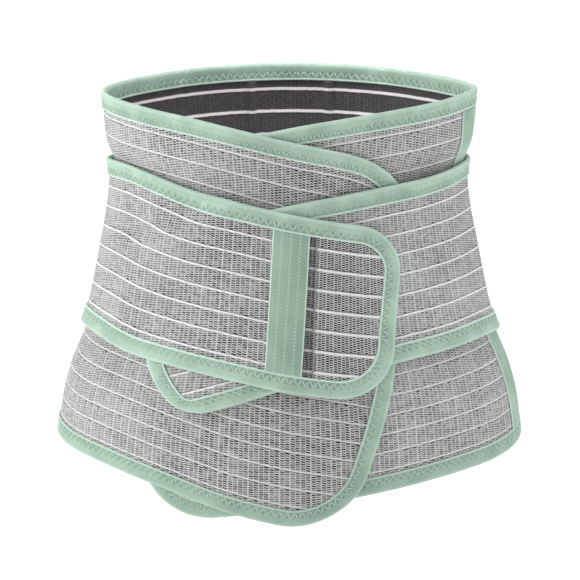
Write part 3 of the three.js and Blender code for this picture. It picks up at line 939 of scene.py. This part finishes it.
def mesh_material(
    name, lines, nominal, cloth, colours, inner=False, stretch=1.0, shade=1, border=0.0, slack=0.0,
    strength=1.0,
):
    """Elastic mesh: rows of dashes in upright ribs, crossed by raised lines.

    shade is the side of a line that its shadow lies on, 1 for below. border is the distance from
    the UV's zero within which the cloth is dark and bare. slack is how much darker the mesh gets
    towards the UV's zero at the front. This darkening is painted shade. On the tab it is also the
    looser knit, whose dark ground shows more between the unstretched yarns. strength is how far
    the lines cover the yarns.
    """
    shader = Shader(name)
    u, v = shader.cloth_uv()
    pitch = lines.pitch * nominal
    width = cloth.inner_line_width if inner else lines.width * nominal
    wobble = (shader.noise(160.0) - 0.5) * 0.0006
    off = ((v / pitch + 0.5).fraction() - 0.5) * pitch + wobble
    line = 1 - abs(off).step(width * 0.34, width * 0.62)
    wale = u / (cloth.rib_pitch * stretch / 2)
    wale_number = wale.floor()
    row = v / (pitch / round(pitch / ROW_PITCH)) + (wale_number % 2) * 0.5
    luck = shader.chance(wale_number, row.floor())
    # Painted shade: the dark ground shows more towards the UV's zero at the front, as much as slack
    # gives; on the tab this is also its looser knit
    front_shade_and_slack = (1 - abs(u).step(0.03, 0.15)) * slack + shader.noise(9.0).step(0.35, 0.65) * 0.35 + 0.1
    gap = 1 - row.from_middle().step(0.24, 0.40)
    dash = 1 - wale.from_middle().step(0.40, 0.50)
    rib = (wale * 0.5).from_middle().step(0.37, 0.48)
    rib = rib * (shader.chance((wale * 0.5 + 0.5).floor(), 3.0) * 0.7 + 0.3)
    cloudy = shader.noise(34.0).step(0.34, 0.66)
    clear = abs(off).step(width * 0.4, width * 1.2)
    dark = gap * dash * (luck * 0.35 + 0.65) * (1 - rib * 0.5) * (cloudy * 0.15 + 0.75 + front_shade_and_slack * 0.25)
    dark = dark * (clear * 0.5 + 0.5)
    # Painted shadow: a dark line beside each white line, on the side that shade gives, stands for the
    # shadow of the raised line
    line_shadow = 1 - abs(off - shade * width * 0.85).step(0.0002, 0.0006)
    dark = dark.math("MAXIMUM", line_shadow * (luck * 0.35 + 0.5)).math("MINIMUM", 1.0)
    light, ground, stripe = colours.mesh_light, colours.mesh_dark, colours.line
    speck = shader.chance(wale_number + 7.0, row.floor())
    if inner:
        light, ground, stripe = colours.inner, scaled(colours.inner, 0.3), colours.inner_line
        speck = speck * speck * shader.noise(420.0).step(0.4, 0.62) * 2.0
    yarn = shader.colours(speck * 0.5 + rib * 0.2, light, scaled(light, 1.5))
    if border:
        bare = 1 - u.step(border - 0.0004, border + 0.0002)
        hatch = ((u * 0.6 + v) / 0.0017).wave()
        # Painted shadow: a dark jagged line where the tab's raised face starts stands for the shadow
        # along that face's edge
        jag_shadow = 1 - abs(u - border + (luck - 0.5) * 0.0008).step(0.0003, 0.0008)
        yarn = shader.colours(bare * (hatch * 0.35 + 0.4), yarn, ground)
        dark = dark.math("MAXIMUM", jag_shadow * (luck * 0.5 + 0.45))
        line = line * (1 - bare * 0.6)
    result = shader.colours(dark, yarn, ground)
    result = shader.colours(line * strength, result, stripe)
    soft = shader.noise(22.0)
    height = (1 - dark) * 0.6 + line * 0.5 + rib * 0.25 + soft * 4.0
    return shader.finish(result, 0.85, height, bump=0.6, depth=0.0004, sheen=0.05)


def tape_material(name, colours, width, herring=True):
    """Flat woven tape, with a herringbone or a plain weave and light selvedges."""
    shader = Shader(name)
    u, v = shader.cloth_uv()
    edge = 1 - u.math("MINIMUM", width - u).step(0.0006, 0.0013)
    cloudy = shader.noise(28.0).step(0.3, 0.7)
    fine = shader.noise(900.0)
    if herring:
        slant = abs((u / WEAVE_COLUMN) % 2 - 1) * (WEAVE_COLUMN * WEAVE_LEAN)
        weave = ((v + slant) / WEAVE_PITCH).wave()
        seam = (u / WEAVE_COLUMN).fraction()
        seam = 1 - seam.math("MINIMUM", 1 - seam).step(0.03, 0.13)
        tone = weave * 0.75 + cloudy * 0.3 + seam * weave * 0.9 + fine * 0.2 - 0.18
    else:
        weave = ((u + v) / 0.0012).wave() * 0.5 + ((u - v) / 0.0012).wave() * 0.5
        tone = weave * 0.3 + cloudy * 0.45 + fine * 0.3
    result = shader.colours(tone, colours.tape_dark, colours.tape_light)
    result = shader.colours(edge * 0.8, result, colours.green_edge)
    return shader.finish(result, 0.75, weave + edge * 0.5, bump=0.4, depth=0.0002, sheen=0.08)


def binding_material(name, colours, cloth):
    """Smooth folded tape, puckered along its zigzag stitching, with a bright selvedge."""
    shader = Shader(name)
    u, v = shader.cloth_uv()
    width = cloth.binding_width
    profile = binding_profile(cloth)
    total = float(np.hypot(*np.diff(np.array(profile[: 2 * len(BINDING_WALL) + 1]), axis=0).T).sum())
    inset = v.math("MINIMUM", total - v)
    selvedge = 1 - inset.step(0.0012, 0.0024)
    stitched = 1 - abs(inset - width * 0.36).step(0.0018, 0.0032)
    tooth = abs((u / cloth.stitch_pitch * 2 + 1) % 2 - 1)
    trace = abs((inset - width * 0.14) / cloth.stitch_height - (1 - tooth))
    dent = (1 - trace.step(0.10, 0.42)) * stitched
    twill = ((u * 0.7 + v) / 0.0010).wave()
    fine = shader.noise(700.0)
    cloudy = shader.noise(60.0, 4.0).step(0.3, 0.7)
    fold = inset.step(width * 0.80, width * 0.93)
    # Painted shade: the tone is darker in the dents between the zigzag's teeth and across the stitched
    # band, where the puckered tape lies in shade
    tone = cloudy * 0.34 + fine * 0.5 + twill * 0.14 + 0.28 - dent * 0.26 - stitched * 0.10
    result = shader.colours(tone, colours.green_dark, colours.green_light)
    result = shader.colours(selvedge * 0.8, result, colours.green_edge)
    # Painted highlight: the tape is lightened towards the fold, where its rounded edge catches the light
    result = shader.colours(fold * 0.3, result, colours.green_edge)
    # Painted shadow: a dark line along the binding's hollow, a little in from the selvedge
    line = 1 - abs(inset - 0.0029).step(0.0001, 0.0007)
    result = shader.colours(line * 0.35, result, colours.green_dark)
    # Painted shade: the binding is darkened towards the hem, below the waist, to stand in for the light
    # falling off there
    low = 1 - shader.split(shader.place())[2].step(-0.200, -0.110)
    result = shader.colours(low * 0.3, result, colours.green_dark)
    height = twill * 0.15 - dent * 0.8 + cloudy * 0.3 + fine * 0.3
    return shader.finish(result, 0.72, height, bump=0.4, depth=0.0004, sheen=0.1)


def thread_material(name, tint):
    """Stitching thread with a fine twist."""
    shader = Shader(name)
    u, v = shader.cloth_uv()
    twist = ((u + v * 2) / 0.0006).wave()
    result = shader.colours(twist, scaled(tint, 0.78), tint)
    return shader.finish(result, 0.6, twist, bump=0.3, depth=0.0001)


def hook_material(name, colours):
    """Hook tape: a field of tiny hooks."""
    shader = Shader(name)
    dots = shader.node("ShaderNodeTexVoronoi", None, {"Vector": shader.place(), "Scale": 900.0})
    result = shader.colours(dots.step(0.1, 0.6), scaled(colours.hook, 2.2), colours.hook)
    return shader.finish(result, 0.7, 1 - dots, bump=0.6, depth=0.0006)


class BinderOperator:
    """Shared start of the operators: the torso and its two bands."""

    bl_options = {"REGISTER", "UNDO"}

    def start(self, context):
        scene = context.scene
        torso = Torso(scene)
        self.cloth = scene.binder_cloth
        self.colours = scene.binder_colours
        self.panel = panel_band(torso)
        self.belt = belt_band(torso)
        self.torso = torso

    def seam_sides(self, angles):
        """Angles at the top and at the bottom of the two sides of a seam."""
        half = self.torso.degrees(self.cloth.seam_gap / 2, angles[0])
        return tuple(angle + half for angle in angles), tuple(angle - half for angle in angles)


class BINDER_OT_panel(BinderOperator, bpy.types.Operator):
    """Models the three sheets of the tall body panel"""

    bl_idname = "binder.panel"
    bl_label = "Body panel"

    def execute(self, context):
        self.start(context)
        nominal, cloth, colours = self.panel.nominal, self.cloth, self.colours
        faces = {
            lines: [
                mesh_material(f"{name}_mesh", lines, nominal, cloth, colours, slack=0.5, strength=0.7),
                mesh_material(f"{name}_inner_face", lines, nominal, cloth, colours, inner=True),
            ]
            for name, lines in (("wing", PANEL_LINES), ("back", BACK_LINES))
        }
        before_over, after_over = self.seam_sides(OVER_SEAM_ANGLES)
        before_under, after_under = self.seam_sides(UNDER_SEAM_ANGLES)
        lapping = (PANEL_OVER_END, before_over)
        behind = (after_over, before_under)
        beneath = (after_under, PANEL_UNDER_END)
        sheets = (
            ("wing_lapping", PANEL_LINES, lapping, "over_wing", (0.345, 0.262), 0.076),
            ("back", BACK_LINES, behind, "back_panel", (0.385, 0.243), 0.0855),
            ("wing_beneath", PANEL_LINES, beneath, "under_wing", (0.335, 0.258), 0.0715),
        )
        for name, lines, (high, low), node, flat, area in sheets:
            piece = fabric(self.panel, lines, high, low, name, faces[lines], [node])
        return {"FINISHED"}


class BINDER_OT_belt(BinderOperator, bpy.types.Operator):
    """Models the waist belt and the tab beyond its cross tape"""

    bl_idname = "binder.belt"
    bl_label = "Waist belt"

    def execute(self, context):
        self.start(context)
        nominal, cloth, colours = self.belt.nominal, self.cloth, self.colours
        border = cloth.tape_width / 2 + cloth.border
        slack, stretched = 0.86, 1.14
        inner = mesh_material(
            "belt_inner_face", BELT_LINES, nominal, cloth, colours, inner=True, stretch=stretched
        )
        tab_face = mesh_material(
            "tab_mesh", TAB_LINES, nominal, cloth, colours, stretch=slack, shade=-1, border=border,
            slack=1.6,
        )
        belt_face = mesh_material(
            "belt_mesh", BELT_LINES, nominal, cloth, colours, stretch=stretched, shade=-1, slack=0.8
        )
        high, low = self.seam_sides(CROSS_TAPE_ANGLES)
        tab = fabric(
            self.belt, TAB_LINES, BELT_OVER_END, high, "tab", [tab_face, inner],
            ["belt_over_tab"], slack, line_across(CROSS_TAPE_ANGLES), border,
        )
        band = fabric(
            self.belt, BELT_LINES, low, BELT_UNDER_END, "belt", [belt_face, inner],
            ["belt_band"], stretched,
        )
        return {"FINISHED"}


class BINDER_OT_bindings(BinderOperator, bpy.types.Operator):
    """Models the folded bindings and their zigzag stitching"""

    bl_idname = "binder.bindings"
    bl_label = "Bindings"

    def execute(self, context):
        self.start(context)
        green = binding_material("binding_green", self.colours, self.cloth)
        thread = thread_material("binding_thread", self.colours.thread)
        binding(self.panel, "panel_edge_binding", green, ["panel_binding"])
        binding(self.belt, "belt_edge_binding", green, ["belt_binding"])
        zigzag(self.panel, "panel_stitching", thread)
        zigzag(self.belt, "belt_stitching", thread)
        return {"FINISHED"}


class BINDER_OT_tapes(BinderOperator, bpy.types.Operator):
    """Models the tapes over the seams and stays, and the stays' channels inside the back"""

    bl_idname = "binder.tapes"
    bl_label = "Tapes and stays"

    def execute(self, context):
        self.start(context)
        cloth = self.cloth
        woven = tape_material("seam_tape", self.colours, cloth.tape_width, herring=False)
        channel = mesh_material(
            "stay_channel", BACK_LINES, self.panel.nominal, cloth, self.colours, inner=True
        )
        half = self.torso.degrees(cloth.stay_spacing / 2, BACK_ANGLE)
        seams = {"side_over": OVER_SEAM_ANGLES, "side_under": UNDER_SEAM_ANGLES}
        stays = {"back_over": (BACK_ANGLE + half,) * 2, "back_under": (BACK_ANGLE - half,) * 2}
        for name, angles in {**seams, **stays}.items():
            kind, side = name.split("_")
            strip(
                self.panel, f"{name}_tape", line_across(angles), cloth.tape_width, 1,
                tape_profile(cloth), (24, 120), woven, [f"{kind}_tape_{side}"],
            )

        def ridge(x, down):
            return cloth.fabric / 2 + cloth.tape * (1.8 * np.cos(np.pi * x) ** 2 - 0.15)

        for name, angles in stays.items():
            side = name.split("_")[1]
            strip(
                self.panel, f"{name}_channel", line_across(angles), cloth.stay_width, -1,
                ridge, (16, 120), channel, [f"back_stay_{side}"], BACK_LINES,
            )
        return {"FINISHED"}


class BINDER_OT_cross_tape(BinderOperator, bpy.types.Operator):
    """Models the herringbone tape across the belt and the stitching beside it"""

    bl_idname = "binder.cross_tape"
    bl_label = "Cross tape"

    def execute(self, context):
        self.start(context)
        cloth = self.cloth
        woven = tape_material("herringbone_green", self.colours, cloth.tape_width)
        profile = tape_profile(cloth, lambda x, down: (herringbone(x, down) - 0.5) * 0.00016)
        strip(
            self.belt, "herringbone_tape", line_across(CROSS_TAPE_ANGLES), cloth.tape_width, 1,
            profile, (80, 240), woven, ["belt_cross_tape"],
        )
        grey = thread_material("grey_thread", self.colours.grey_thread)
        border_stitches(self.belt, "tab_stitching", grey)
        return {"FINISHED"}


class BINDER_OT_pads(BinderOperator, bpy.types.Operator):
    """Gives the two hook pads their finish"""

    bl_idname = "binder.pads"
    bl_label = "Hook pads"

    def execute(self, context):
        self.start(context)
        hooks = hook_material("hook_field", self.colours)
        for name in ("belt_hook_pad", "panel_hook_pad"):
            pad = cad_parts[name]
            pad.data.materials.clear()
            pad.data.materials.append(hooks)
        return {"FINISHED"}


# The studio's lights, in metres, watts and degrees
Light = namedtuple("Light", "name place target size power spread")
WAIST = (0, 0, -0.06)
LIGHTS = (
    Light("key", (-2.6, -0.35, 0.75), WAIST, 1.4, 52, 180),
    Light("fill", (2.7, -0.35, 0.8), WAIST, 1.8, 22, 180),
    Light("top", (0.0, -0.4, 2.4), WAIST, 1.4, 10, 180),
    Light("back", (0.5, 2.6, 1.2), WAIST, 1.6, 12, 180),
    Light("inside", (0.0, -0.05, 0.6), (0.0, 0.09, 0.02), 0.2, 0.22, 40),
)

# The photo's view: degrees above level, metres to the target and focal length in millimetres
CAMERA_ELEVATION = 12.8
CAMERA_DISTANCE = 3.0
CAMERA_TARGET = (0, 0, -0.0795)
CAMERA_LENS = 270


def aim_at(name, data, place, direction):
    """Places a light or the camera so that it looks along a direction."""
    thing = bpy.data.objects.new(name, data)
    thing.location = place
    thing.rotation_euler = direction.to_track_quat("-Z", "Y").to_euler()
    bpy.context.scene.collection.objects.link(thing)
    return thing


class BINDER_OT_stage(bpy.types.Operator):
    """Makes the floor, the soft studio light and the camera"""

    bl_idname = "binder.stage"
    bl_label = "Stage"

    def execute(self, context):
        scene = context.scene
        tint = scene.binder_colours.floor
        bm = bmesh.new()
        bmesh.ops.create_grid(bm, x_segments=1, y_segments=1, size=30)
        bmesh.ops.translate(bm, verts=bm.verts, vec=(0, 0, -0.6))
        mesh = bpy.data.meshes.new("floor")
        bm.to_mesh(mesh)
        bm.free()
        shader = Shader("floor_white")
        shader.principled.inputs["Emission Color"].default_value = (1, 1, 1, 1)
        shader.principled.inputs["Emission Strength"].default_value = 0.45
        mesh.materials.append(shader.finish(tuple(tint), 0.9))
        floor = bpy.data.objects.new("floor", mesh)
        scene.collection.objects.link(floor)

        world = bpy.data.worlds.new("studio")
        world.use_nodes = True
        background = world.node_tree.nodes["Background"]
        background.inputs["Color"].default_value = (1, 1, 1, 1)
        background.inputs["Strength"].default_value = 0.62
        scene.world = world

        for row in LIGHTS:
            light = bpy.data.lights.new(row.name, "AREA")
            light.size = row.size
            light.energy = row.power
            light.spread = np.radians(row.spread)
            aim_at(row.name, light, Vector(row.place), Vector(row.target) - Vector(row.place))

        elevation = np.radians(CAMERA_ELEVATION)
        back = Vector((0, -np.cos(elevation), np.sin(elevation)))
        camera = bpy.data.cameras.new("camera")
        camera.lens = CAMERA_LENS
        camera.sensor_width = 36
        scene.camera = aim_at("camera", camera, Vector(CAMERA_TARGET) + back * CAMERA_DISTANCE, -back)
        scene.view_settings.view_transform = "Standard"
        return {"FINISHED"}


class BINDER_PT_sidebar(bpy.types.Panel):
    """Lists the binder's pieces and sizes"""

    bl_label = "Abdominal binder"
    bl_space_type = "VIEW_3D"
    bl_region_type = "UI"
    bl_category = "Binder"

    def draw(self, context):
        layout = self.layout
        for operator in OPERATORS:
            layout.operator(operator.bl_idname)
        for group_name, group in GROUPS.items():
            box = layout.box()
            for name in group.__annotations__:
                box.prop(getattr(context.scene, group_name), name)


GROUPS = {"binder_shape": BinderShape, "binder_cloth": BinderCloth, "binder_colours": BinderColours}
OPERATORS = (
    BINDER_OT_panel,
    BINDER_OT_belt,
    BINDER_OT_bindings,
    BINDER_OT_tapes,
    BINDER_OT_cross_tape,
    BINDER_OT_pads,
    BINDER_OT_stage,
)


def register():
    for cls in (*GROUPS.values(), *OPERATORS, BINDER_PT_sidebar):
        bpy.utils.register_class(cls)
    for name, cls in GROUPS.items():
        setattr(bpy.types.Scene, name, PointerProperty(type=cls))


def unregister():
    for name in GROUPS:
        delattr(bpy.types.Scene, name)
    for cls in reversed((*GROUPS.values(), *OPERATORS, BINDER_PT_sidebar)):
        bpy.utils.unregister_class(cls)


def main():
    register()
    bpy.ops.binder.panel()
    bpy.ops.binder.belt()
    bpy.ops.binder.bindings()
    bpy.ops.binder.tapes()
    bpy.ops.binder.cross_tape()
    bpy.ops.binder.pads()
    bpy.ops.binder.stage()


if __name__ == "__main__":
    main()
